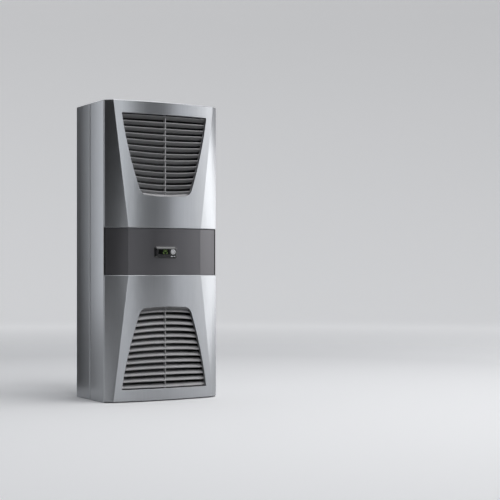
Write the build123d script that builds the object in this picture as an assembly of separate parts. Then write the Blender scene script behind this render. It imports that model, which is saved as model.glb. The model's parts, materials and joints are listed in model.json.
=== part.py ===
from build123d import *
import math
import os

# Enclosure cooling unit, in millimetres. X is the width, the front faces -Y and Z is up.
# The origin is the centre of the case's base, on the surface the unit stands on.

# Case
width = 400.0
height = 950.0
chassis_depth = 110.0
hood_depth = 114.0
front_bulge = 36.0
sheet = 1.5
flange_width = 14.0
bend_radius = 2.5

# Seam between chassis and hood
chassis_seam = 3.0
seal_inset = 3.0

# Front panels
panel_sheet = 2.0
panel_side_clearance = 0.5
panel_edge = 3.0
panel_side_chamfer = 1.2
panel_rim_chamfer = 1.6
panel_foot_clearance = 3.0
front_radius = 950.0
facet_at_band = 70.5
facet_at_end = 22.5
facet_radius = 450.0

# Control band between the panels
band_height = 150.0
band_recess = 3.0
band_side_inset = 5.0
band_upper_gap = 2.0
band_lower_gap = 0.5
band_sheet = 2.5
band_chamfer = 0.6

# Louvred openings, measured outward from the control band
grille_band_margin = 100.0
grille_end_margin = 39.0
grille_crease_margin_at_end = 22.3
grille_crease_margin_at_band = 55.0
grille_side_bow = 6.5
grille_bow_radius = 700.0
grille_band_corner = 28.0
grille_end_corner = 3.0
grille_fold_depth = 8.0
grille_edge_chamfer = 0.8

# Louvre inserts
slat_pitch = 20.0
slat_end_gap = 5.0
slat_edge = 2.4
slat_depth = 10.0
slat_drop = 9.5
rib_width = 3.2
rib_set_back = 1.5
louvre_set_back = 7.0
louvre_clearance = 0.3
louvre_frame_width = 6.0
louvre_frame_depth = 3.0

# Air ducts behind the louvres
duct_wall = 2.0
duct_depth = 55.0
duct_side_margin = 18.0
duct_end_margin = 14.0
duct_clearance = 0.3

# Controller
controller_x = -2.0
controller_drop = 2.8
bezel_width = 78.0
bezel_height = 37.0
bezel_radius = 7.0
bezel_face_width = 68.0
bezel_face_height = 27.0
bezel_face_radius = 4.0
bezel_face_drop = 1.2
bezel_base_depth = 1.5
bezel_depth = 7.0
body_width = 70.0
body_height = 28.0
body_depth = 60.0
controller_clearance = 0.3
window_x = -10.5
window_width = 39.0
window_height = 15.5
window_rise = 1.7
pocket_depth = 1.5
window_set_back = 0.3
keypad_x = 21.5
keypad_rise = 1.6
keypad_radius = 8.6
keypad_proud = 0.8
keypad_chamfer = 0.5
key_width = 6.0
key_height = 2.8
key_spacing = 9.5
key_drop = 12.8

# Rear side
rear_recess = 3.0
seal_width = 12.0
air_opening_side_margin = 80.0
air_opening_radius = 10.0
return_air_height = 180.0
return_air_drop = 160.0
supply_air_height = 120.0
supply_air_rise = 150.0
tray_depth = 44.0
tray_margin = 3.0
tray_clearance = 0.3
insert_side_margin = 30.0
insert_end_margin = 35.0
insert_bore = 6.8
insert_body = 11.0
insert_head = 16.0
insert_head_depth = 1.0
insert_length = 17.0
insert_clearance = 0.2

# Fan behind the return air opening
fan_size = 150.0
fan_corner = 8.0
fan_depth = 34.0
fan_bore = 138.0
fan_hub = 56.0
fan_hub_depth = 24.0
fan_tip_clearance = 2.0
fan_blades = 7
fan_blade_sheet = 1.6
fan_blade_pitch = 35.0
fan_seat_depth = 5.0
guard_bar = 2.0
guard_pitch = 12.0
guard_lap = 3.0

# Coil behind the supply air opening
coil_depth = 30.0
coil_clearance = 0.5
fin_depth = 5.0
fin_sheet = 1.0
fin_pitch = 6.0

# Condensate drain
drain_from_rear = 55.0
drain_outer = 14.0
drain_bore = 9.0
drain_flange = 22.0
drain_flange_depth = 2.0
drain_length = 24.0
drain_recess = 0.5
drain_clearance = 0.3

# A cutting body runs this far past the faces it cuts
overcut = 1.0

rear_y = (chassis_depth + hood_depth + front_bulge) / 2
seam_y = rear_y - chassis_depth
corner_y = seam_y - hood_depth
front_y = corner_y - front_bulge
panel_back_y = corner_y + panel_edge
carrier_back_y = panel_back_y + sheet
hood_end_y = seam_y - chassis_seam
axis_y = front_y + front_radius
rear_wall_y = rear_y - rear_recess
rear_inner_y = rear_wall_y - sheet
tray_y = rear_inner_y - tray_depth
drain_y = rear_y - drain_from_rear
panel_half = width / 2 - panel_side_clearance
inner_half = width / 2 - sheet
top_z = height - sheet
band_bottom = (height - band_height) / 2
band_top = (height + band_height) / 2
panel_run = height - band_top
grille_start = grille_band_margin
grille_end = panel_run - grille_end_margin
slat_slope = slat_drop / slat_depth
slat_count = 1 + int((grille_end - slat_end_gap - grille_start) / slat_pitch)
controller_z = height / 2 - controller_drop
window_z = controller_z + window_rise
keypad_z = controller_z + keypad_rise
key_z = controller_z - key_drop
bezel_y = front_y + band_recess - bezel_depth
opening_width = width - 2 * air_opening_side_margin
return_air_z = height - return_air_drop
supply_air_z = supply_air_rise


def box(x0, x1, y0, y1, z0, z1):
    """A block between two corners."""
    return Pos((x0 + x1) / 2, (y0 + y1) / 2, (z0 + z1) / 2) * Box(x1 - x0, y1 - y0, z1 - z0)


def block(x, z, wide, high, y0, y1):
    """A block as seen from the front, centred on x and z, between two depths."""
    return box(x - wide / 2, x + wide / 2, y0, y1, z - high / 2, z + high / 2)


def rounded_block(x, z, wide, high, radius, y0, y1):
    """A block with rounded corners as seen from the front, centred on x and z."""
    outline = Plane.XZ * (Pos(x, z) * RectangleRounded(wide, high, radius))
    return extrude(Pos(0, y1, 0) * outline, amount=y1 - y0, dir=(0, -1, 0))


def disc(x, z, radius, y0, y1):
    """A round block along Y."""
    return Pos(x, (y0 + y1) / 2, z) * Rot(90, 0, 0) * Cylinder(radius, y1 - y0)


def hexagon(x, z, across, y0, y1):
    """A hexagonal block along Y, measured across its flats."""
    outline = Plane.XZ * (Pos(x, z) * RegularPolygon(across / 2, 6, major_radius=False))
    return extrude(Pos(0, y1, 0) * outline, amount=y1 - y0, dir=(0, -1, 0))


def upright(x, y, radius, z0, z1):
    """A round block along Z."""
    return Pos(x, y, (z0 + z1) / 2) * Cylinder(radius, z1 - z0)


def lifted(piece):
    """The piece for the upper half of the front, measured outward from the band."""
    return Pos(0, 0, band_top) * piece


def turned_over(piece):
    """The same piece for the lower half of the front, upside down below the band."""
    return Pos(0, 0, band_bottom) * mirror(piece, about=Plane.XY)


# Faceted, curved front


def crease_half(t):
    """Half the distance between the two creases, at t outward from the band."""
    return panel_half - facet_at_band + (facet_at_band - facet_at_end) * t / panel_run


def front_outline(crease, half, inset, back, cut):
    """Plan outline of the front: a slightly rounded facet on each side of a shallow arc.

    It is drawn inset all round, and its two outer corners are cut off over a short length.
    """
    crease_y = axis_y - math.sqrt(front_radius**2 - crease**2)
    slope = math.atan2(corner_y - crease_y, half - crease)
    corner = corner_y + inset * (1 - math.sin(slope)) / math.cos(slope)
    fold = crease - inset * math.tan(slope / 2)
    fold_y = axis_y - math.sqrt((front_radius - inset) ** 2 - fold**2)
    side = half - inset
    chord = math.dist((side, corner), (fold, fold_y))
    share = cut / chord
    turn = (side + (fold - side) * share, corner + (fold_y - corner) * share)
    rise = chord**2 / (8 * facet_radius)
    crown = (
        (fold + turn[0]) / 2 + (corner - fold_y) / chord * rise,
        (fold_y + turn[1]) / 2 - (side - fold) / chord * rise,
    )
    edges = [
        Line((-side, back), (-side, corner + cut)),
        Line((-side, corner + cut), (-turn[0], turn[1])),
        ThreePointArc((-turn[0], turn[1]), (-crown[0], crown[1]), (-fold, fold_y)),
        ThreePointArc((-fold, fold_y), (0, front_y + inset), (fold, fold_y)),
        ThreePointArc((fold, fold_y), crown, turn),
        Line(turn, (side, corner + cut)),
        Line((side, corner + cut), (side, back)),
        Line((side, back), (-side, back)),
    ]
    return make_face(Curve() + edges)


def front_body(sections, back):
    """Solid behind the faceted front, through sections given as distance from the band and inset."""
    outlines = [
        Pos(0, 0, t) * front_outline(crease_half(t), panel_half, inset, back, panel_side_chamfer)
        for t, inset in sections
    ]
    return loft(outlines, ruled=True)


def front_layer(inset, thickness):
    """Curved layer that follows the middle of the front, over the height of a panel."""
    edge = math.asin((crease_half(grille_end) + overcut) / front_radius)
    near, far = (
        [(side * r * math.sin(edge), axis_y - r * math.cos(edge)) for side in (-1, 1)]
        for r in (front_radius - inset, front_radius - inset - thickness)
    )
    edges = [
        ThreePointArc(near[0], (0, front_y + inset), near[1]),
        Line(near[1], far[1]),
        ThreePointArc(far[1], (0, front_y + inset + thickness), far[0]),
        Line(far[0], near[0]),
    ]
    return extrude(make_face(Curve() + edges), amount=panel_run)


# Louvred openings


def grille_half_at_end():
    return crease_half(grille_end) - grille_crease_margin_at_end


def grille_side_circle():
    """Centre and radius of the arc that bounds the opening on the right."""
    half = crease_half(grille_start) - grille_crease_margin_at_band
    low = (half, grille_start + half**2 / (2 * grille_bow_radius))
    high = (grille_half_at_end(), grille_end)
    chord = math.dist(low, high)
    radius = (chord**2 / 4 + grille_side_bow**2) / (2 * grille_side_bow)
    outward = ((high[1] - low[1]) / chord, (low[0] - high[0]) / chord)
    reach = radius - grille_side_bow
    return (low[0] + high[0]) / 2 - reach * outward[0], (low[1] + high[1]) / 2 - reach * outward[1], radius


def grille_outline(grow):
    """Outline of the opening in the XZ plane, with t as Z, grown all round."""
    side_x, side_t, side_radius = grille_side_circle()
    side_radius += grow
    bow_radius = grille_bow_radius + grow
    bow_t = grille_start + grille_bow_radius
    end = grille_end + grow
    high = (side_x + math.sqrt(side_radius**2 - (end - side_t) ** 2), end)
    apart = math.hypot(side_x, side_t - bow_t)
    along = (bow_radius**2 - side_radius**2 + apart**2) / (2 * apart)
    across = math.sqrt(bow_radius**2 - along**2)
    unit = (side_x / apart, (side_t - bow_t) / apart)
    low = max(
        (unit[0] * along - turn * unit[1] * across, bow_t + unit[1] * along + turn * unit[0] * across)
        for turn in (-1, 1)
    )
    turn = (math.atan2(low[1] - side_t, low[0] - side_x) + math.atan2(end - side_t, high[0] - side_x)) / 2
    middle = (side_x + side_radius * math.cos(turn), side_t + side_radius * math.sin(turn))
    edges = [
        ThreePointArc((-low[0], low[1]), (0, grille_start - grow), low),
        ThreePointArc(low, middle, high),
        Line(high, (-high[0], high[1])),
        ThreePointArc((-high[0], high[1]), (-middle[0], middle[1]), (-low[0], low[1])),
    ]
    outline = make_face(Curve() + edges)
    outline = fillet(outline.vertices().sort_by(Axis.Y)[:2], grille_band_corner + grow)
    outline = fillet(outline.vertices().sort_by(Axis.Y)[-2:], grille_end_corner + grow)
    return Plane.XZ * outline


def grille_prism(grow=0.0):
    """Block through the opening, from before the front to behind the panel."""
    back = panel_back_y + overcut
    return extrude(Pos(0, back, 0) * grille_outline(grow), amount=back - front_y + overcut, dir=(0, -1, 0))


def front_panel(run):
    """Folded sheet panel, from the band outward, with its opening's edge folded inward."""
    rim = panel_rim_chamfer
    body = front_body([(0, rim), (rim, 0), (run - rim, 0), (run, rim)], panel_back_y)
    inner = panel_sheet
    hollow = front_body([(inner, inner), (run - inner, inner)], panel_back_y + overcut)
    fold = front_layer(panel_sheet / 2, grille_fold_depth - panel_sheet / 2) & grille_prism(panel_sheet)
    panel = body - hollow + fold - grille_prism()
    return chamfer([e for e in panel.edges() if on_opening_edge(e @ 0.5)], grille_edge_chamfer)


def on_opening_edge(point):
    """Whether a point in the middle of an edge of the panel lies on the front edge of its opening."""
    beside = abs(point.X) < crease_half(point.Z) - louvre_frame_width
    between = grille_start - overcut < point.Z < grille_end + overcut
    off_front = abs(math.hypot(point.X, point.Y - axis_y) - front_radius)
    return beside and between and off_front < panel_sheet / 2


def bowed_sheet(t, slope):
    """Curved sheet behind an edge at t, which runs back and outward by slope."""
    bow = (grille_end - t) / (grille_end - grille_start) / grille_bow_radius
    half = grille_half_at_end() + slat_pitch
    rise = half**2 * (bow - slope / front_radius) / 2
    low, high = t - slat_edge / 2, t + slat_edge / 2
    edges = [
        ThreePointArc((-half, low + rise), (0, low), (half, low + rise)),
        Line((half, low + rise), (half, high + rise)),
        ThreePointArc((half, high + rise), (0, high), (-half, high + rise)),
        Line((-half, high + rise), (-half, low + rise)),
    ]
    face = Plane.XZ * make_face(Curve() + edges)
    lead = slat_depth
    start = Pos(0, front_y + louvre_set_back - lead, -lead * slope) * face
    return extrude(start, amount=(lead + 2 * front_bulge) * math.hypot(1, slope), dir=(0, 1, slope))


def louvre():
    """Louvre insert: bowed slats, a sill and a centre rib in a frame behind the opening's folded edge."""
    inside = grille_prism(-louvre_clearance)
    field = front_layer(louvre_set_back, slat_depth) & inside
    first = grille_end - slat_end_gap
    slats = [bowed_sheet(first - i * slat_pitch, -slat_slope) & field for i in range(slat_count)]
    sill = bowed_sheet(grille_start + slat_edge / 2, slat_slope) & field
    rib = front_layer(louvre_set_back + rib_set_back, slat_depth) & inside
    rib &= box(-rib_width / 2, rib_width / 2, front_y, 0, 0, panel_run)
    frame = front_layer(grille_fold_depth + louvre_clearance, louvre_frame_depth)
    frame &= grille_prism(louvre_frame_width)
    frame -= grille_prism(-2 * louvre_clearance)
    return rib + slats + sill + frame


def duct_section(wall):
    """Half width and both ends of an air duct, drawn inside its outer size by wall."""
    return (
        grille_half_at_end() + duct_side_margin - wall,
        grille_start - duct_end_margin + wall,
        grille_end + duct_end_margin - wall,
    )


def duct():
    """Air guide behind a louvre, closed at the back, with its rim on the carrier."""
    half, z0, z1 = duct_section(0)
    y0 = carrier_back_y + duct_clearance
    outside = box(-half, half, y0, y0 + duct_depth, z0, z1)
    half, z0, z1 = duct_section(duct_wall)
    return outside - box(-half, half, y0 - overcut, y0 + duct_depth - duct_wall, z0, z1)


def front_carrier():
    """Flat frame across the hood that holds both panels, the band and the ducts."""
    plate = box(-inner_half, inner_half, panel_back_y, carrier_back_y, sheet, top_z)
    half, z0, z1 = duct_section(duct_wall)
    window = box(-half, half, panel_back_y - overcut, carrier_back_y + overcut, z0, z1)
    return plate - lifted(window) - turned_over(window) - controller_cut(panel_back_y, carrier_back_y)


# Case


def folded_side(y0, y1, front_flange):
    """Left side sheet from y0 to y1, folded inward at the seam and, on the hood, at the front."""
    middle = (y0 + y1) / 2
    centre = (flange_width - width) / 2
    outer = Pos(centre, middle) * Rectangle(flange_width, y1 - y0)
    inner = Pos(centre + sheet, middle) * Rectangle(flange_width, y1 - y0 - 2 * sheet)
    outer = fillet(outer.vertices().group_by(Axis.X)[0], bend_radius)
    inner = fillet(inner.vertices().group_by(Axis.X)[0], bend_radius - sheet)
    if not front_flange:
        inner += Pos(centre + sheet, y1 - sheet) * Rectangle(flange_width, 4 * sheet)
    wall = extrude(Pos(0, 0, sheet) * (outer - inner), amount=height - sheet)
    return wall - box(-inner_half, 0, y0 - overcut, y1 + overcut, top_z, height + overcut)


def folded_deck(y0, y1, front_flange, top):
    """Top or base sheet between the sides, folded like them."""
    reach = inner_half - flange_width
    z0, z1 = (top_z - flange_width, height) if top else (0, flange_width)
    middle = (y0 + y1) / 2
    outer = Pos(middle, (z0 + z1) / 2) * Rectangle(y1 - y0, z1 - z0)
    lift = -sheet if top else sheet
    inner = Pos(middle, (z0 + z1) / 2 + lift) * Rectangle(y1 - y0 - 2 * sheet, z1 - z0)
    if not front_flange:
        inner += Pos(y1 - sheet, (z0 + z1) / 2 + lift) * Rectangle(4 * sheet, z1 - z0)
    outer = fillet(outer.vertices().group_by(Axis.Y)[-1 if top else 0], bend_radius)
    inner = fillet(inner.vertices().group_by(Axis.Y)[-1 if top else 0], bend_radius - sheet)
    profile = Plane.YZ * (outer - inner)
    low = top_z if top else 0
    flat = box(-inner_half, inner_half, y0 - overcut, y1 + overcut, low, low + sheet)
    whole = extrude(Pos(-inner_half, 0, 0) * profile, amount=2 * inner_half, dir=(1, 0, 0))
    core = extrude(Pos(-reach, 0, 0) * profile, amount=2 * reach, dir=(1, 0, 0))
    return core + (whole & flat)


def seam_seal():
    """Dark seal that fills the seam between chassis and hood, set back from the outside."""
    def ring_block(inset, past):
        half = width / 2 - inset
        return box(-half, half, hood_end_y - past, seam_y + past, inset, height - inset)

    return ring_block(seal_inset, 0) - ring_block(flange_width, overcut)


# Control band and controller


def control_band():
    """Dark recessed panel that carries the controller."""
    low = band_bottom + band_lower_gap
    high = band_top - band_upper_gap
    crease = panel_half - facet_at_band
    half = panel_half - band_side_inset + band_recess
    front = front_outline(crease, half, band_recess, panel_back_y, band_chamfer)
    inner = band_recess + band_sheet
    hollow = front_outline(crease, half, inner, panel_back_y + 2 * band_sheet, band_chamfer)
    shell = extrude(Pos(0, 0, low) * front, amount=high - low)
    shell -= extrude(Pos(0, 0, low + band_sheet) * hollow, amount=high - low - 2 * band_sheet)
    return shell - controller_cut(front_y, panel_back_y)


def controller_cut(y0, y1):
    """Cut for the controller's housing between two depths."""
    gap = 2 * controller_clearance
    return block(controller_x, controller_z, body_width + gap, body_height + gap, y0 - overcut, y1 + overcut)


def key_places():
    """Centres of the two keys under the round keypad, as x and z."""
    return [(keypad_x + side * key_spacing / 2, key_z) for side in (-1, 1)]


def controller_bezel():
    """Front frame of the controller: slopes with rounded corners round a face with pockets."""
    back = bezel_y + bezel_depth - controller_clearance
    ridge = back - bezel_base_depth
    gap = 2 * controller_clearance
    face_z = controller_z - bezel_face_drop
    outlines = (
        (ridge, controller_z, bezel_width, bezel_height, bezel_radius),
        (bezel_y, face_z, bezel_face_width, bezel_face_height, bezel_face_radius),
    )
    slopes = [
        Pos(controller_x, y, z) * (Plane.XZ * RectangleRounded(wide, high, radius))
        for y, z, wide, high, radius in outlines
    ]
    frame = rounded_block(controller_x, controller_z, bezel_width, bezel_height, bezel_radius, ridge, back)
    frame += loft(slopes, ruled=True)
    y0, y1 = bezel_y - overcut, bezel_y + pocket_depth
    frame -= block(window_x, window_z, window_width + gap, window_height + gap, y0, y1)
    frame -= disc(keypad_x, keypad_z, keypad_radius + controller_clearance, y0, y1)
    for x, z in key_places():
        frame -= block(x, z, key_width + gap, key_height + gap, y0, y1)
    return frame


def controller_window():
    """Dark display window in the bezel."""
    y0, y1 = bezel_y + window_set_back, bezel_y + pocket_depth
    return block(window_x, window_z, window_width, window_height, y0, y1)


def controller_keypad():
    """Round four-way key."""
    key = disc(keypad_x, keypad_z, keypad_radius, bezel_y - keypad_proud, bezel_y + pocket_depth)
    return chamfer(key.faces().sort_by(Axis.Y)[0].edges(), keypad_chamfer)


def controller_keys():
    """Two small keys under the round one."""
    y0, y1 = bezel_y - keypad_proud / 2, bezel_y + pocket_depth
    return Part() + [block(x, z, key_width, key_height, y0, y1) for x, z in key_places()]


def controller_body():
    """Housing of the controller, through the band and the carrier."""
    back = bezel_y + bezel_depth - controller_clearance
    return block(controller_x, controller_z, body_width, body_height, back, back + body_depth)


# Rear side


def rear_wall():
    """Recessed rear sheet with both air openings and the holes for the inserts."""
    plate = box(-inner_half, inner_half, rear_inner_y, rear_wall_y, sheet, top_z)
    y0, y1 = rear_inner_y - overcut, rear_wall_y + overcut
    for z, high in ((return_air_z, return_air_height), (supply_air_z, supply_air_height)):
        plate -= rounded_block(0, z, opening_width, high, air_opening_radius, y0, y1)
    for x, z in insert_places():
        plate -= hexagon(x, z, insert_body + 2 * insert_clearance, y0, y1)
    return plate


def insert_places():
    """Centres of the four threaded inserts, as x and z."""
    across = width / 2 - insert_side_margin
    return [(x, z) for x in (-across, across) for z in (insert_end_margin, height - insert_end_margin)]


def fixing_inserts():
    """Threaded inserts in the rear sheet, with their heads on its rear face."""
    inserts = Part()
    for x, z in insert_places():
        head = hexagon(x, z, insert_head, rear_wall_y, rear_wall_y + insert_head_depth)
        body = hexagon(x, z, insert_body, rear_wall_y - insert_length, rear_wall_y)
        bore = disc(x, z, insert_bore / 2, rear_wall_y - insert_length - overcut, rear_y)
        inserts += head + body - bore
    return inserts


def rear_seal():
    """Soft strip round the rear, level with the edges of the sides."""
    outer = box(-inner_half, inner_half, rear_wall_y, rear_y, sheet, top_z)
    half = inner_half - seal_width
    inner = box(-half, half, rear_wall_y - overcut, rear_y + overcut, sheet + seal_width, top_z - seal_width)
    return outer - inner


def air_tray(z, high):
    """Box behind a rear air opening, closed at its inner end."""
    half = opening_width / 2 + tray_margin
    z0, z1 = z - high / 2 - tray_margin, z + high / 2 + tray_margin
    outside = box(-half, half, tray_y, rear_inner_y, z0, z1)
    half -= sheet
    inside = box(-half, half, tray_y + sheet, rear_inner_y + overcut, z0 + sheet, z1 - sheet)
    return outside - inside


def fan_frame():
    """Square fan frame on the floor of its tray, with a round bore and the seat of the motor."""
    y0 = tray_y + sheet
    y1 = y0 + fan_depth
    frame = rounded_block(0, return_air_z, fan_size, fan_size, fan_corner, y0, y1)
    return frame - disc(0, return_air_z, fan_bore / 2, y0 + fan_seat_depth, y1 + overcut)


def fan_rotor():
    """Hub and swept blades, turning in the bore of the fan frame."""
    y0 = tray_y + sheet + fan_seat_depth + tray_clearance
    y1 = y0 + fan_hub_depth
    hub = disc(0, 0, fan_hub / 2, y0, y1)
    tip = fan_bore / 2 - fan_tip_clearance
    ring = disc(0, 0, tip, y0, y1) - disc(0, 0, fan_hub / 2 - overcut, y0, y1)
    middle = (y0 + y1) / 2
    thick = fan_blade_sheet / 2
    slab = box(-fan_hub_depth, fan_hub_depth, -thick, thick, 0, tip + fan_tip_clearance)
    turned = Pos(0, middle, 0) * Rot(0, 0, fan_blade_pitch) * slab
    blade = turned & ring
    blades = [Rot(0, i * 360 / fan_blades, 0) * blade for i in range(fan_blades)]
    return Pos(0, 0, return_air_z) * (hub + blades)


def fan_guard():
    """Finger guard of upright bars and two ties on the open face of the fan frame."""
    y0 = tray_y + sheet + fan_depth
    y1 = y0 + guard_bar
    reach = fan_bore / 2 + guard_lap
    count = int(fan_bore / guard_pitch)
    bars = []
    for i in range(count):
        x = (i - (count - 1) / 2) * guard_pitch
        half = math.sqrt(reach**2 - x**2)
        bars.append(block(x, return_air_z, guard_bar, 2 * half, y0, y1))
    for side in (-1, 1):
        z = return_air_z + side * fan_hub / 2
        half = math.sqrt(reach**2 - (fan_hub / 2) ** 2)
        bars.append(block(0, z, 2 * half, guard_bar, y0, y1))
    return Part() + bars


def supply_coil():
    """Finned coil in the tray of the supply air opening."""
    half = opening_width / 2 + tray_margin - sheet - coil_clearance
    high = supply_air_height / 2 + tray_margin - sheet - coil_clearance
    y0 = tray_y + sheet
    y1 = y0 + coil_depth
    z0, z1 = supply_air_z - high, supply_air_z + high
    block = box(-half, half, y0, y1 - fin_depth, z0, z1)
    count = int(2 * half / fin_pitch)
    fins = []
    for i in range(count):
        x = (i - (count - 1) / 2) * fin_pitch
        fins.append(box(x - fin_sheet / 2, x + fin_sheet / 2, y1 - fin_depth, y1, z0, z1))
    return block + fins


def drain_spout():
    """Condensate spout that ends just above the standing surface."""
    tube = upright(0, drain_y, drain_outer / 2, drain_recess, drain_recess + drain_length)
    outline = Pos(0, drain_y, sheet) * RegularPolygon(drain_flange / 2, 6, major_radius=False)
    flange = extrude(outline, amount=drain_flange_depth)
    return tube + flange - upright(0, drain_y, drain_bore / 2, -overcut, drain_length + 2 * overcut)


def pieces():
    """Every piece of the unit by its name."""
    chassis_side = folded_side(seam_y, rear_y, False)
    hood_side = folded_side(carrier_back_y, hood_end_y, True)
    drain_hole = upright(0, drain_y, drain_outer / 2 + drain_clearance, -overcut, sheet + overcut)
    insert = louvre()
    guide = duct()
    return {
        "rear_wall": rear_wall(),
        "rear_seal": rear_seal(),
        "fixing_inserts": fixing_inserts(),
        "return_air_tray": air_tray(return_air_z, return_air_height),
        "return_air_fan_frame": fan_frame(),
        "return_air_fan_rotor": fan_rotor(),
        "return_air_guard": fan_guard(),
        "supply_air_tray": air_tray(supply_air_z, supply_air_height),
        "supply_air_coil": supply_coil(),
        "chassis_left_side": chassis_side,
        "chassis_right_side": mirror(chassis_side, about=Plane.YZ),
        "chassis_top": folded_deck(seam_y, rear_y, False, True),
        "chassis_base": folded_deck(seam_y, rear_y, False, False) - drain_hole,
        "drain_spout": drain_spout(),
        "seam_seal": seam_seal(),
        "hood_left_side": hood_side,
        "hood_right_side": mirror(hood_side, about=Plane.YZ),
        "hood_top": folded_deck(carrier_back_y, hood_end_y, True, True),
        "hood_base": folded_deck(carrier_back_y, hood_end_y, True, False),
        "front_carrier": front_carrier(),
        "upper_front_panel": lifted(front_panel(panel_run)),
        "lower_front_panel": turned_over(front_panel(panel_run - panel_foot_clearance)),
        "upper_louvre": lifted(insert),
        "lower_louvre": turned_over(insert),
        "upper_air_duct": lifted(guide),
        "lower_air_duct": turned_over(guide),
        "control_band": control_band(),
        "controller_bezel": controller_bezel(),
        "controller_body": controller_body(),
        "controller_window": controller_window(),
        "controller_keypad": controller_keypad(),
        "controller_keys": controller_keys(),
    }


os.makedirs("parts", exist_ok=True)
for name, piece in pieces().items():
    export_step(piece, f"parts/{name}.step")
    print(name, round(piece.volume))
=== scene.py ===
import bmesh
import bpy
import json
import math
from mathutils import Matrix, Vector


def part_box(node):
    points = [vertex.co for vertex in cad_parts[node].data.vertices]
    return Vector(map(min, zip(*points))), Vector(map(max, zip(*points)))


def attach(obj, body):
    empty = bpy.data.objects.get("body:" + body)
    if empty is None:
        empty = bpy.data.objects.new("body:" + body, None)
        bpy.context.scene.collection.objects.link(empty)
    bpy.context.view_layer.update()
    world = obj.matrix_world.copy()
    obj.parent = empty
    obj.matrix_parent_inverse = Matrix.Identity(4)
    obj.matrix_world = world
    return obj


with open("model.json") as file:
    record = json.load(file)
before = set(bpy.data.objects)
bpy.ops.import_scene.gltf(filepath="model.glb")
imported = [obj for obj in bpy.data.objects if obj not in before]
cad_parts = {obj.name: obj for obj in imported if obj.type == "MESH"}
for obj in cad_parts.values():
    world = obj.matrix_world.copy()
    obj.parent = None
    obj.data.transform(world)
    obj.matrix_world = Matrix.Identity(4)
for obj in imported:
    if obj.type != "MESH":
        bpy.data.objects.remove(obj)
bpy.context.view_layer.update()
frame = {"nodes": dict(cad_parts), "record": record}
nodes = frame["nodes"]

# All lengths are in metres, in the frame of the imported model: the front faces -Y and Z is up.

# Photograph's camera
CAMERA_PLACE = (-1.7403, -3.6109, 0.4175)
CAMERA_TURN = math.radians(-30.48)
CAMERA_LENS = 87.72
CAMERA_SENSOR = 36.0
CAMERA_SHIFT_Y = 0.0393

# Edges
SAME_POINT = 0.00001
FLAT_ANGLE = math.radians(0.3)
EDGE_ANGLE = math.radians(24)
CREASE_ANGLE = math.radians(6)
EDGE_WIDTH = 0.0004
EDGE_WIDTHS = {
    "upper_louvre": 0.0008, "lower_louvre": 0.0008, "return_air_guard": 0.0008,
    "controller_bezel": 0.0006, "return_air_fan_rotor": 0.0003,
    "controller_keypad": 0.0002, "fixing_inserts": 0.0002, "seam_seal": 0.0002,
    "controller_window": 0.0001, "supply_air_coil": 0.0001,
}
CREASED = {"upper_front_panel", "lower_front_panel", "control_band"}

# Materials
NOISE_LOW = 0.3
NOISE_HIGH = 0.7
BUMP_STRENGTH = 0.6
COAT_ROUGHNESS = 0.15
BRUSHED_SHADES = (0.94, 1.06)
PLASTIC_SHADES = (0.92, 1.08)
DARK_METAL_SHADES = (0.96, 1.04)
SPANGLE_SHADES = (0.96, 1.03)
SPANGLE_SCALE = 110
# Painted shade down the gaps between the coil's fins: the factors of its darkest and lightest colour, then
# its depth.
FIN_PAINTED_SHADES = (0.1, 1.0)
FIN_PAINTED_SHADE_DEPTH = 0.005


def new_material(name):
    """A material with its node tree and its shader."""
    material = bpy.data.materials.new(name)
    material.use_nodes = True
    tree = material.node_tree
    shader = tree.nodes["Principled BSDF"]
    return material, tree, shader


def place_texture(tree, scale):
    """Object coordinates stretched by scale, one number for each axis."""
    where = tree.nodes.new("ShaderNodeTexCoord")
    stretch = tree.nodes.new("ShaderNodeMapping")
    stretch.inputs["Scale"].default_value = scale
    tree.links.new(where.outputs["Object"], stretch.inputs["Vector"])
    return stretch.outputs["Vector"]


def noise(tree, scale, detail):
    """Noise over the object, with a scale for each axis."""
    texture = tree.nodes.new("ShaderNodeTexNoise")
    texture.inputs["Scale"].default_value = 1.0
    texture.inputs["Detail"].default_value = detail
    tree.links.new(place_texture(tree, scale), texture.inputs["Vector"])
    return texture.outputs["Fac"]


def spread(tree, value, low, high):
    """The value, from the noise's usual lowest to its highest, as a number between low and high."""
    shift = tree.nodes.new("ShaderNodeMapRange")
    shift.inputs["From Min"].default_value = NOISE_LOW
    shift.inputs["From Max"].default_value = NOISE_HIGH
    shift.inputs["To Min"].default_value = low
    shift.inputs["To Max"].default_value = high
    tree.links.new(value, shift.inputs["Value"])
    return shift.outputs["Result"]


def tint(tree, value, colour, shades):
    """The value as a shade of the colour. shades are the factors of the darkest and the lightest."""
    ramp = tree.nodes.new("ShaderNodeValToRGB")
    for element, position, factor in zip(ramp.color_ramp.elements, (NOISE_LOW, NOISE_HIGH), shades):
        element.position = position
        element.color = (*(min(1, c * factor) for c in colour), 1)
    tree.links.new(value, ramp.inputs["Fac"])
    return ramp.outputs["Color"]


def bumped(tree, shader, height, depth):
    """Raises the surface by the height texture, by depth in metres."""
    bump = tree.nodes.new("ShaderNodeBump")
    bump.inputs["Distance"].default_value = depth
    bump.inputs["Strength"].default_value = BUMP_STRENGTH
    tree.links.new(height, bump.inputs["Height"])
    tree.links.new(bump.outputs["Normal"], shader.inputs["Normal"])


def brushed_steel(name, colour, roughness, grain):
    """Steel with fine grinding marks. grain is the stretch of the marks on each axis."""
    material, tree, shader = new_material(name)
    marks = noise(tree, grain, 2.0)
    tree.links.new(tint(tree, marks, colour, BRUSHED_SHADES), shader.inputs["Base Color"])
    clouds = noise(tree, (5, 5, 2), 1.0)
    tree.links.new(spread(tree, clouds, roughness - 0.006, roughness + 0.006), shader.inputs["Roughness"])
    shader.inputs["Metallic"].default_value = 1.0
    return material


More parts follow.
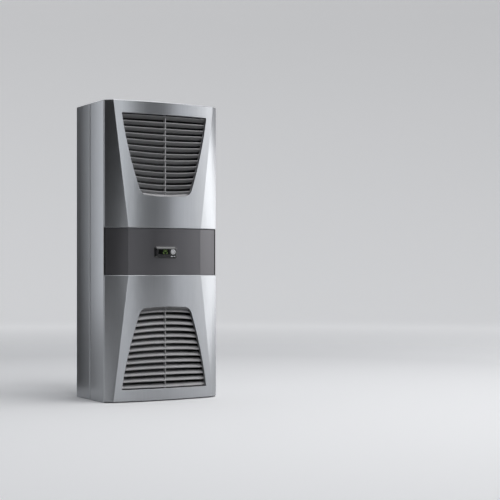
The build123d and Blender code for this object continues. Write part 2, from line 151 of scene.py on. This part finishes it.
def moulded_plastic(name, colour, roughness, gloss=0.5, coat=0.0):
    """Plastic with a fine eroded texture and slight unevenness of gloss."""
    material, tree, shader = new_material(name)
    clouds = noise(tree, (9, 9, 9), 2.0)
    tree.links.new(tint(tree, clouds, colour, PLASTIC_SHADES), shader.inputs["Base Color"])
    tree.links.new(spread(tree, clouds, roughness - 0.04, roughness + 0.05), shader.inputs["Roughness"])
    shader.inputs["Specular IOR Level"].default_value = gloss
    shader.inputs["Coat Weight"].default_value = coat
    shader.inputs["Coat Roughness"].default_value = COAT_ROUGHNESS
    bumped(tree, shader, noise(tree, (900, 900, 900), 1.0), 0.00002)
    return material


def dark_metal(name, colour, roughness):
    """Dark satin coat on metal, with slight unevenness of gloss."""
    material, tree, shader = new_material(name)
    clouds = noise(tree, (14, 14, 4), 2.0)
    tree.links.new(tint(tree, clouds, colour, DARK_METAL_SHADES), shader.inputs["Base Color"])
    tree.links.new(spread(tree, clouds, roughness - 0.03, roughness + 0.03), shader.inputs["Roughness"])
    shader.inputs["Metallic"].default_value = 0.9
    bumped(tree, shader, noise(tree, (1200, 1200, 1200), 1.0), 0.00001)
    return material


def zinc_coated(name, colour):
    """Zinc-coated sheet with its pale spangle."""
    material, tree, shader = new_material(name)
    spangle = tree.nodes.new("ShaderNodeTexVoronoi")
    spangle.inputs["Scale"].default_value = 1.0
    tree.links.new(place_texture(tree, (SPANGLE_SCALE,) * 3), spangle.inputs["Vector"])
    grey = tree.nodes.new("ShaderNodeRGBToBW")
    tree.links.new(spangle.outputs["Color"], grey.inputs["Color"])
    tree.links.new(tint(tree, grey.outputs["Val"], colour, SPANGLE_SHADES), shader.inputs["Base Color"])
    tree.links.new(spread(tree, grey.outputs["Val"], 0.43, 0.47), shader.inputs["Roughness"])
    shader.inputs["Metallic"].default_value = 0.9
    return material


def fins_with_painted_shade(name, colour, coil):
    """Bare fins that face +Y on the coil, with painted shade that darkens them down the gaps between them."""
    material, tree, shader = new_material(name)
    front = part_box(coil)[1].y
    where = tree.nodes.new("ShaderNodeTexCoord")
    axes = tree.nodes.new("ShaderNodeSeparateXYZ")
    tree.links.new(where.outputs["Object"], axes.inputs["Vector"])
    # Painted shade: the colour darkens from the fins' front edges down into the gaps between them.
    height = tree.nodes.new("ShaderNodeMapRange")
    height.inputs["From Min"].default_value = front - FIN_PAINTED_SHADE_DEPTH
    height.inputs["From Max"].default_value = front
    tree.links.new(axes.outputs["Y"], height.inputs["Value"])
    tree.links.new(tint(tree, height.outputs["Result"], colour, FIN_PAINTED_SHADES), shader.inputs["Base Color"])
    shader.inputs["Metallic"].default_value = 0.8
    shader.inputs["Roughness"].default_value = 0.4
    return material


def lit_segment(name, colour, power):
    """Glowing segment of the display."""
    material, tree, shader = new_material(name)
    shader.inputs["Base Color"].default_value = (*colour, 1)
    shader.inputs["Emission Color"].default_value = (*colour, 1)
    shader.inputs["Emission Strength"].default_value = power
    shader.inputs["Roughness"].default_value = 0.4
    return material


MATERIALS = {
    "front_steel": brushed_steel("front_steel", (0.40, 0.41, 0.425), 0.28, (1800, 1800, 8)),
    "case_steel": brushed_steel("case_steel", (0.39, 0.40, 0.415), 0.30, (1800, 1800, 8)),
    "deck_steel": brushed_steel("deck_steel", (0.39, 0.40, 0.415), 0.34, (8, 1800, 1800)),
    "zinc_sheet": zinc_coated("zinc_sheet", (0.50, 0.51, 0.52)),
    "zinc_insert": zinc_coated("zinc_insert", (0.62, 0.61, 0.57)),
    "louvre_grey": moulded_plastic("louvre_grey", (0.49, 0.485, 0.495), 0.38),
    "band_grey": dark_metal("band_grey", (0.112, 0.110, 0.116), 0.36),
    "black_plastic": moulded_plastic("black_plastic", (0.02, 0.02, 0.021), 0.5),
    "carrier_black": moulded_plastic("carrier_black", (0.012, 0.012, 0.013), 0.6, 0.3),
    "guard_wire": moulded_plastic("guard_wire", (0.03, 0.03, 0.031), 0.35),
    # The coil's fins carry painted shade down the gaps between them.
    "coil_fins": fins_with_painted_shade("coil_fins", (0.66, 0.67, 0.68), "supply_air_coil"),
    "soft_seal": moulded_plastic("soft_seal", (0.025, 0.025, 0.026), 0.85, 0.2),
    "bezel_grey": moulded_plastic("bezel_grey", (0.014, 0.014, 0.015), 0.25, 0.6, 0.7),
    "display_window": moulded_plastic("display_window", (0.003, 0.004, 0.003), 0.15, 0.25),
    "key_grey": moulded_plastic("key_grey", (0.80, 0.81, 0.83), 0.35),
}


def soften(piece, width, angle):
    """Round edges and smooth faces for a piece, without touching its own points."""
    mesh = piece.data
    if "custom_normal" in mesh.attributes:
        mesh.attributes.remove(mesh.attributes["custom_normal"])
    mesh.shade_smooth()
    joined = piece.modifiers.new("joined", "WELD")
    joined.merge_threshold = SAME_POINT
    flat = piece.modifiers.new("flat", "DECIMATE")
    flat.decimate_type = "DISSOLVE"
    flat.angle_limit = FLAT_ANGLE
    edges = piece.modifiers.new("edges", "BEVEL")
    edges.width = width
    edges.segments = 2
    edges.limit_method = "ANGLE"
    edges.angle_limit = angle
    normals = piece.modifiers.new("normals", "WEIGHTED_NORMAL")
    normals.keep_sharp = True


DECKS = {"chassis_top", "chassis_base", "hood_top", "hood_base"}

for subpart in frame["record"]["subparts"]:
    name = subpart["node"]
    finish = "deck_steel" if name in DECKS else subpart["material_slot"]
    nodes[name].data.materials.clear()
    nodes[name].data.materials.append(MATERIALS[finish])
    soften(nodes[name], EDGE_WIDTHS.get(name, EDGE_WIDTH), CREASE_ANGLE if name in CREASED else EDGE_ANGLE)


# Small pieces


def add_piece(name, mesh, slot, body="root"):
    """A new piece that rides on the body and takes its finish from the slot."""
    piece = bpy.data.objects.new(name, mesh)
    bpy.context.scene.collection.objects.link(piece)
    if not mesh.materials:
        mesh.materials.append(MATERIALS[slot])
    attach(piece, body)
    return piece


def mesh_from(name, fill):
    """A mesh that the fill function builds in a bmesh."""
    shape = bmesh.new()
    fill(shape)
    bmesh.ops.recalc_face_normals(shape, faces=shape.faces)
    mesh = bpy.data.meshes.new(name)
    shape.to_mesh(mesh)
    shape.free()
    return mesh


def prism_y(shape, points, front, back):
    """A prism along Y over an outline of x, z points, between two depths."""
    rings = [[shape.verts.new((x, y, z)) for x, z in points] for y in (front, back)]
    count = len(points)
    for ring in rings:
        shape.faces.new(ring)
    for i in range(count):
        j = (i + 1) % count
        shape.faces.new((rings[0][i], rings[0][j], rings[1][j], rings[1][i]))


# Display digits
DIGITS = "25"
DIGIT_WIDTH = 0.0060
DIGIT_HEIGHT = 0.0115
DIGIT_STROKE = 0.0014
DIGIT_STEP = 0.0088
DIGITS_ASIDE = 0.0043
DIGIT_GAP = 0.0002
DIGIT_RAISE = 0.00012
SEGMENTS = {"2": "abged", "5": "afgcd"}


def segment_outline(letter, x, z):
    """Outline of one segment of a seven-segment digit centred on x and z."""
    half = DIGIT_STROKE / 2
    right, top = DIGIT_WIDTH / 2, DIGIT_HEIGHT / 2
    levels = {"a": top, "g": 0.0, "d": -top}
    if letter in levels:
        low, high, level = -right + DIGIT_GAP, right - DIGIT_GAP, levels[letter]
        return [
            (x + low, z + level), (x + low + half, z + level + half), (x + high - half, z + level + half),
            (x + high, z + level), (x + high - half, z + level - half), (x + low + half, z + level - half),
        ]
    side = right if letter in "bc" else -right
    low, high = (0.0, top) if letter in "bf" else (-top, 0.0)
    low, high = low + DIGIT_GAP, high - DIGIT_GAP
    return [
        (x + side, z + low), (x + side + half, z + low + half), (x + side + half, z + high - half),
        (x + side, z + high), (x + side - half, z + high - half), (x + side - half, z + low + half),
    ]


def display_digits():
    """Two lit digits on the display window."""
    low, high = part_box("controller_window")
    x = (low.x + high.x) / 2 + DIGITS_ASIDE
    z = (low.z + high.z) / 2

    def fill(shape):
        for place, digit in enumerate(DIGITS):
            for letter in SEGMENTS[digit]:
                outline = segment_outline(letter, x + (place - 0.5) * DIGIT_STEP, z)
                prism_y(shape, outline, low.y - DIGIT_RAISE, low.y + DIGIT_RAISE)

    mesh = mesh_from("display_digits", fill)
    mesh.materials.append(lit_segment("display_green", (0.10, 0.17, 0.04), 0.4))
    add_piece("display_digits", mesh, "display_window")


# Marks on the round key
MARK_REACH = 0.0062
MARK_SIZE = 0.0017
MARK_RAISE = 0.0001


def keypad_marks():
    """Four dark arrow marks on the round key."""
    low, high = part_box("controller_keypad")
    x, z = (low.x + high.x) / 2, (low.z + high.z) / 2

    def fill(shape):
        for quarter in range(4):
            turn = quarter * math.pi / 2
            outline = []
            for along, across in ((MARK_REACH, 0), (MARK_REACH - MARK_SIZE, MARK_SIZE),
                                  (MARK_REACH - MARK_SIZE, -MARK_SIZE)):
                outline.append((
                    x + along * math.cos(turn) - across * math.sin(turn),
                    z + along * math.sin(turn) + across * math.cos(turn),
                ))
            prism_y(shape, outline, low.y - MARK_RAISE, low.y + MARK_RAISE)

    add_piece("keypad_marks", mesh_from("keypad_marks", fill), "black_plastic")


# Screws
SCREW_RADIUS = 0.0042
SCREW_HEIGHT = 0.0022
SCREW_DOME = 0.8
SCREW_CROWN = 0.98
SMOOTH_ANGLE = math.radians(22)
SCREW_SIDES = 32
SCREW_RINGS = 5
SOCKET_RADIUS = 0.0016
SOCKET_DEPTH = 0.0012


def screw_head(shape, place, out, radius):
    """A domed screw head with a hexagon socket at place, facing along out."""
    out = Vector(out).normalized()
    side = out.orthogonal().normalized()
    up = out.cross(side)
    scale = radius / SCREW_RADIUS

    def ring(reach, lift, corners=SCREW_SIDES):
        turns = [2 * math.pi * i / corners for i in range(corners)]
        centre = Vector(place) + out * lift
        return [
            shape.verts.new(centre + side * (reach * math.cos(t)) + up * (reach * math.sin(t))) for t in turns
        ]

    rings = [ring(radius, 0.0)]
    for i in range(SCREW_RINGS + 1):
        turn = math.pi / 2 * i / SCREW_RINGS * SCREW_DOME
        rings.append(ring(radius * math.cos(turn) * SCREW_CROWN, SCREW_HEIGHT * scale * math.sin(turn)))
    for near, far in zip(rings, rings[1:]):
        for i in range(SCREW_SIDES):
            j = (i + 1) % SCREW_SIDES
            shape.faces.new((near[i], near[j], far[j], far[i]))
    top = rings[-1]
    lift = (top[0].co - Vector(place)).dot(out)
    mouth = ring(SOCKET_RADIUS * scale, lift, 6)
    floor = ring(SOCKET_RADIUS * scale, lift - SOCKET_DEPTH * scale, 6)
    per = SCREW_SIDES / 6
    for i in range(6):
        j = (i + 1) % 6
        first, last = round(i * per), round((i + 1) * per)
        run = [top[k % SCREW_SIDES] for k in range(first, last + 1)]
        shape.faces.new([mouth[j], mouth[i]] + run)
        shape.faces.new((mouth[i], mouth[j], floor[j], floor[i]))
    shape.faces.new(floor)
    shape.faces.new(rings[0])


def screws(name, places, out, radius, slot):
    """Screw heads at the places, in one piece."""
    def fill(shape):
        for place in places:
            screw_head(shape, place, out, radius)

    mesh = mesh_from(name, fill)
    mesh.set_sharp_from_angle(angle=SMOOTH_ANGLE)
    add_piece(name, mesh, slot)


REAR_SCREW_SIZE = 0.85
REAR_SCREW_INSET = 0.018
REAR_SCREWS_UP = 5
TRAY_SCREW_SIZE = 0.75
TRAY_SCREW_OUT = 0.008
FAN_SCREW_SIZE = 0.8
FAN_SCREW_INSET = 0.011


def rear_screws():
    """Screws that hold the rear sheet, and those round the two air openings."""
    low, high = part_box("rear_wall")
    y = high.y
    inset = REAR_SCREW_INSET
    places = []
    for side in (low.x + inset, high.x - inset):
        for i in range(REAR_SCREWS_UP):
            share = (i + 0.5) / REAR_SCREWS_UP
            places.append((side, y, low.z + (high.z - low.z) * share))
    screws("rear_wall_screws", places, (0, 1, 0), SCREW_RADIUS * REAR_SCREW_SIZE, "zinc_insert")
    for tray in ("return_air_tray", "supply_air_tray"):
        low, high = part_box(tray)
        out = TRAY_SCREW_OUT
        places = [(x, y, z) for x in (low.x - out, high.x + out) for z in (low.z - out, high.z + out)]
        screws(tray + "_screws", places, (0, 1, 0), SCREW_RADIUS * TRAY_SCREW_SIZE, "zinc_insert")


def fan_screws():
    """Screws at the corners of the fan's frame."""
    low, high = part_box("return_air_fan_frame")
    inset = FAN_SCREW_INSET
    places = [
        (x, high.y, z) for x in (low.x + inset, high.x - inset) for z in (low.z + inset, high.z - inset)
    ]
    screws("fan_guard_screws", places, (0, 1, 0), SCREW_RADIUS * FAN_SCREW_SIZE, "zinc_insert")


display_digits()
keypad_marks()
rear_screws()
fan_screws()


# Studio
FLOOR_PALE = (0.88, 0.88, 0.89)
FLOOR_BOUNCE = (0.18, 0.18, 0.18)
FLOOR_GLOW = 0.38
GLOW_NEAR = 2.0
GLOW_FAR = 5.0
FLOOR_RADIUS = 9.0
BOWL_RADIUS = 3.0
BOWL_HEIGHT = 7.0
BOWL_STEPS = 16
BOWL_SIDES = 96
CARD_BLACK = (0.02, 0.02, 0.02)
NEUTRAL = (1.0, 1.0, 1.0)
COOL = (0.9, 0.93, 1.0)
PALE_COOL = (0.94, 0.97, 1.0)
LEFT_COOL = (0.92, 0.95, 1.0)
WORLD_COLOUR = (0.93, 0.96, 1.0)
WORLD_STRENGTH = 0.5
MIDDLE = Vector((0, 0, 0.475))


def floor_material():
    """Pale matte floor that glows further out, and throws back less light on the object than it shows."""
    material, tree, shader = new_material("studio_floor")
    shader.inputs["Roughness"].default_value = 0.8
    shader.inputs["Specular IOR Level"].default_value = 0.1
    ray = tree.nodes.new("ShaderNodeLightPath")
    seen = ray.outputs["Is Camera Ray"]
    for kind in ("Is Glossy Ray", "Is Transmission Ray"):
        either = tree.nodes.new("ShaderNodeMath")
        either.operation = "MAXIMUM"
        tree.links.new(seen, either.inputs[0])
        tree.links.new(ray.outputs[kind], either.inputs[1])
        seen = either.outputs["Value"]
    colour = tree.nodes.new("ShaderNodeMix")
    colour.data_type = "RGBA"
    colour.inputs["A"].default_value = (*FLOOR_BOUNCE, 1)
    colour.inputs["B"].default_value = (*FLOOR_PALE, 1)
    tree.links.new(seen, colour.inputs["Factor"])
    tree.links.new(colour.outputs["Result"], shader.inputs["Base Color"])
    place = tree.nodes.new("ShaderNodeNewGeometry")
    reach = tree.nodes.new("ShaderNodeVectorMath")
    reach.operation = "LENGTH"
    tree.links.new(place.outputs["Position"], reach.inputs[0])
    rise = tree.nodes.new("ShaderNodeMapRange")
    rise.inputs["From Min"].default_value = GLOW_NEAR
    rise.inputs["From Max"].default_value = GLOW_FAR
    rise.inputs["To Max"].default_value = FLOOR_GLOW
    tree.links.new(reach.outputs["Value"], rise.inputs["Value"])
    glow = tree.nodes.new("ShaderNodeMath")
    glow.operation = "MULTIPLY"
    tree.links.new(seen, glow.inputs[0])
    tree.links.new(rise.outputs["Result"], glow.inputs[1])
    shader.inputs["Emission Color"].default_value = (*FLOOR_PALE, 1)
    tree.links.new(glow.outputs["Value"], shader.inputs["Emission Strength"])
    return material


def studio_floor():
    """Pale floor that turns up into a round backdrop far from the object."""
    flat = FLOOR_RADIUS - BOWL_RADIUS
    profile = [(0.0, 0.0), (2.0, 0.0), (flat, 0.0)]
    for i in range(1, BOWL_STEPS + 1):
        turn = math.pi / 2 * i / BOWL_STEPS
        profile.append((flat + BOWL_RADIUS * math.sin(turn), BOWL_RADIUS * (1 - math.cos(turn))))
    profile.append((FLOOR_RADIUS, BOWL_HEIGHT))
    shape = bmesh.new()
    centre = shape.verts.new((0, 0, 0))
    rings = []
    for reach, lift in profile[1:]:
        turns = [2 * math.pi * i / BOWL_SIDES for i in range(BOWL_SIDES)]
        rings.append([shape.verts.new((reach * math.cos(t), reach * math.sin(t), lift)) for t in turns])
    for i in range(BOWL_SIDES):
        j = (i + 1) % BOWL_SIDES
        shape.faces.new((centre, rings[0][i], rings[0][j]))
        for near, far in zip(rings, rings[1:]):
            shape.faces.new((near[i], far[i], far[j], near[j]))
    mesh = bpy.data.meshes.new("studio_floor")
    shape.to_mesh(mesh)
    shape.free()
    mesh.shade_smooth()
    floor = bpy.data.objects.new("studio_floor", mesh)
    bpy.context.scene.collection.objects.link(floor)
    mesh.materials.append(floor_material())


def around(azimuth, reach, lift):
    """A place around the object: azimuth in degrees from the front to the right, and its height."""
    turn = math.radians(azimuth)
    return Vector((reach * math.sin(turn), -reach * math.cos(turn), lift))


def aimed(thing, place, aim):
    """Puts a lamp or card at place, facing the point aim, unseen by the camera."""
    thing.location = place
    thing.rotation_euler = (Vector(aim) - Vector(place)).to_track_quat("-Z", "Y").to_euler()
    thing.visible_camera = False
    bpy.context.scene.collection.objects.link(thing)


def area_lamp(name, place, wide, high, power, colour=NEUTRAL, aim=MIDDLE, sheen=False, fill=False):
    """Soft lamp, in metres and watts. A sheen lamp acts only in reflections, and a fill lamp never there."""
    light = bpy.data.lights.new(name, "AREA")
    light.shape = "RECTANGLE"
    light.size = wide
    light.size_y = high
    light.energy = power
    light.color = colour
    lamp = bpy.data.objects.new(name, light)
    lamp.visible_diffuse = not sheen
    lamp.visible_glossy = not fill
    aimed(lamp, place, aim)


def black_card(name, place, wide, high, aim=MIDDLE):
    """Dark card that shapes what the metal reflects, and does nothing else."""
    x, y = wide / 2, high / 2
    mesh = bpy.data.meshes.new(name)
    mesh.from_pydata([(-x, -y, 0), (x, -y, 0), (x, y, 0), (-x, y, 0)], [], [(0, 1, 2, 3)])
    material, tree, shader = new_material(name)
    shader.inputs["Base Color"].default_value = (*CARD_BLACK, 1)
    shader.inputs["Roughness"].default_value = 0.9
    mesh.materials.append(material)
    card = bpy.data.objects.new(name, mesh)
    card.visible_diffuse = False
    card.visible_shadow = False
    card.visible_transmission = False
    aimed(card, place, aim)


studio_floor()
area_lamp("top", (1.0, -0.5, 3.8), 2.8, 2.3, 38)
area_lamp("top_front", (0.5, -2.0, 3.7), 2.4, 1.6, 52, fill=True)
area_lamp("key", around(68, 4.0, 2.3), 1.8, 1.6, 30)
area_lamp("sheen_right", around(74, 3.6, 1.5), 1.6, 3.0, 30, sheen=True)
area_lamp("sheen_corner", around(50, 3.6, 1.4), 1.0, 2.8, 10, sheen=True)
area_lamp("sheen_strip", around(34, 4.2, 1.4), 0.35, 2.8, 4, COOL, sheen=True)
area_lamp("sheen_front", around(3, 4.2, 1.4), 0.7, 2.8, 10, PALE_COOL, sheen=True)
area_lamp("sheen_left", around(-155, 2.8, 1.1), 1.4, 2.0, 10, LEFT_COOL, aim=(-0.2, 0, 0.5), sheen=True)
black_card("card_left", around(-43, 4.0, 1.2), 5.2, 3.6)
black_card("card_front", around(18, 5.2, 1.6), 2.0, 4.2)
black_card("card_rear", (-0.295, 0.36, 0.6), 0.16, 1.6, aim=(-0.295, 0, 0.6))

world = bpy.data.worlds.new("studio")
world.use_nodes = True
world.node_tree.nodes["Background"].inputs["Color"].default_value = (*WORLD_COLOUR, 1)
world.node_tree.nodes["Background"].inputs["Strength"].default_value = WORLD_STRENGTH
bpy.context.scene.world = world

camera_data = bpy.data.cameras.new("photo_camera")
camera_data.sensor_width = CAMERA_SENSOR
camera_data.lens = CAMERA_LENS
camera_data.shift_y = CAMERA_SHIFT_Y
camera = bpy.data.objects.new("photo_camera", camera_data)
camera.location = CAMERA_PLACE
camera.rotation_euler = (math.pi / 2, 0, CAMERA_TURN)
bpy.context.scene.collection.objects.link(camera)
bpy.context.scene.camera = camera

bpy.context.scene.view_settings.view_transform = "Standard"
